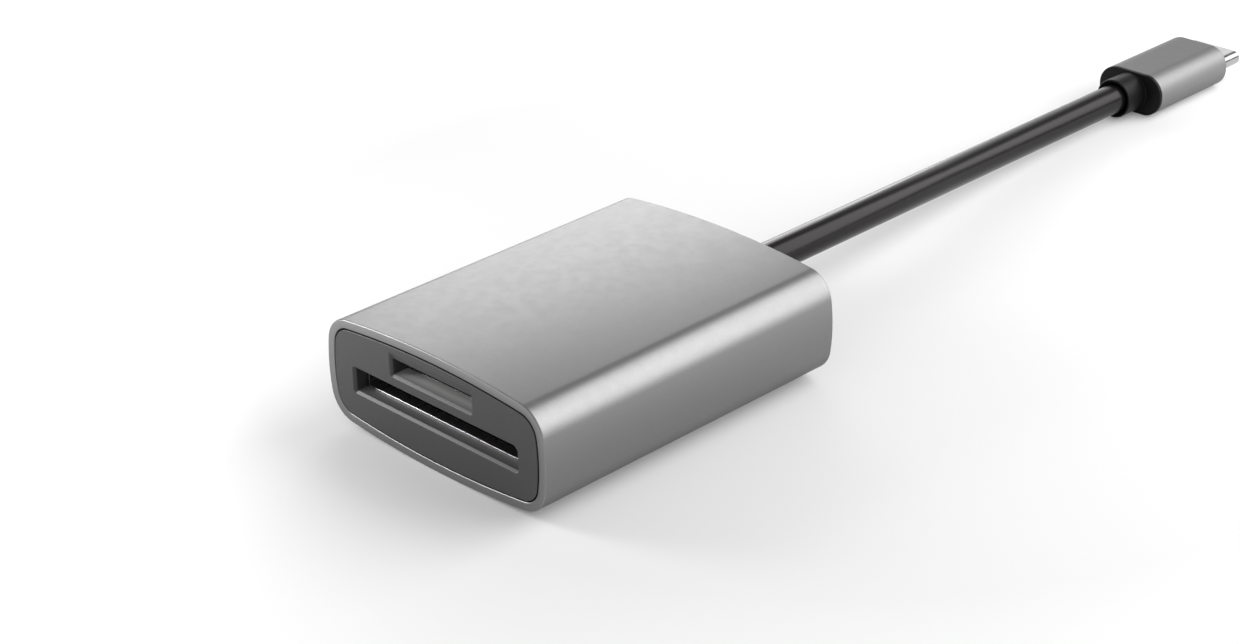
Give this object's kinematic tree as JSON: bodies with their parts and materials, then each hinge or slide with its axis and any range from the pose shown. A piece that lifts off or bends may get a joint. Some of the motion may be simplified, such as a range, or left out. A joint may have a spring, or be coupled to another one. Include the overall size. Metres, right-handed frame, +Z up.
{
  "type": "usb memory card reader",
  "caption": "Small memory card reader: bowed satin aluminium sleeve, slots for a large and a small card in a dark bezel, and a short black cable with an aluminium-shelled oval plug.",
  "frame": {"origin": "under the middle of the reader, on the surface that it stands on", "axes": "+X the reader's width, to the right seen from the slots; +Y its length, from the slots to the cable; +Z up"},
  "size_m": [0.0344, 0.1534, 0.014],
  "materials": {
    "anodised_aluminium": "bead-blasted and grey anodised, satin",
    "bezel_plastic": "dark grey, finely textured",
    "black_plastic": "black moulded",
    "cable_jacket": "black, satin",
    "socket_steel": "plain rolled sheet",
    "tongue_steel": "bright nickel plated",
    "contact_gold": "gold plated",
    "board_laminate": "green solder mask",
    "chip_resin": "moulded resin",
    "capacitor_ceramic": "fired ceramic",
    "core_insulation": "wire insulation"
  },
  "bodies": {
    "root": {"sleeve": "anodised_aluminium", "front_bezel": "bezel_plastic", "rear_cap": "bezel_plastic", "cable_grommet": "cable_jacket", "board_tray": "black_plastic", "circuit_board": "board_laminate", "large_socket_cover": "socket_steel", "large_socket_base": "black_plastic", "large_contacts": "contact_gold", "small_socket_cover": "socket_steel", "small_socket_base": "black_plastic", "small_contacts": "contact_gold", "controller_chip": "chip_resin", "crystal": "socket_steel", "voltage_regulator": "chip_resin", "chip_capacitors": "capacitor_ceramic", "chip_resistors": "chip_resin", "cable": "cable_jacket", "cable_cores": "core_insulation", "plug_shell": "anodised_aluminium", "plug_strain_relief": "black_plastic", "plug_mould": "black_plastic", "tongue_shell": "tongue_steel", "tongue_insulator": "black_plastic", "plug_board": "board_laminate", "tongue_contacts_upper": "contact_gold", "tongue_contacts_lower": "contact_gold", "tongue_latches": "tongue_steel", "plug_cores": "core_insulation"}
  },
  "joints": []
}
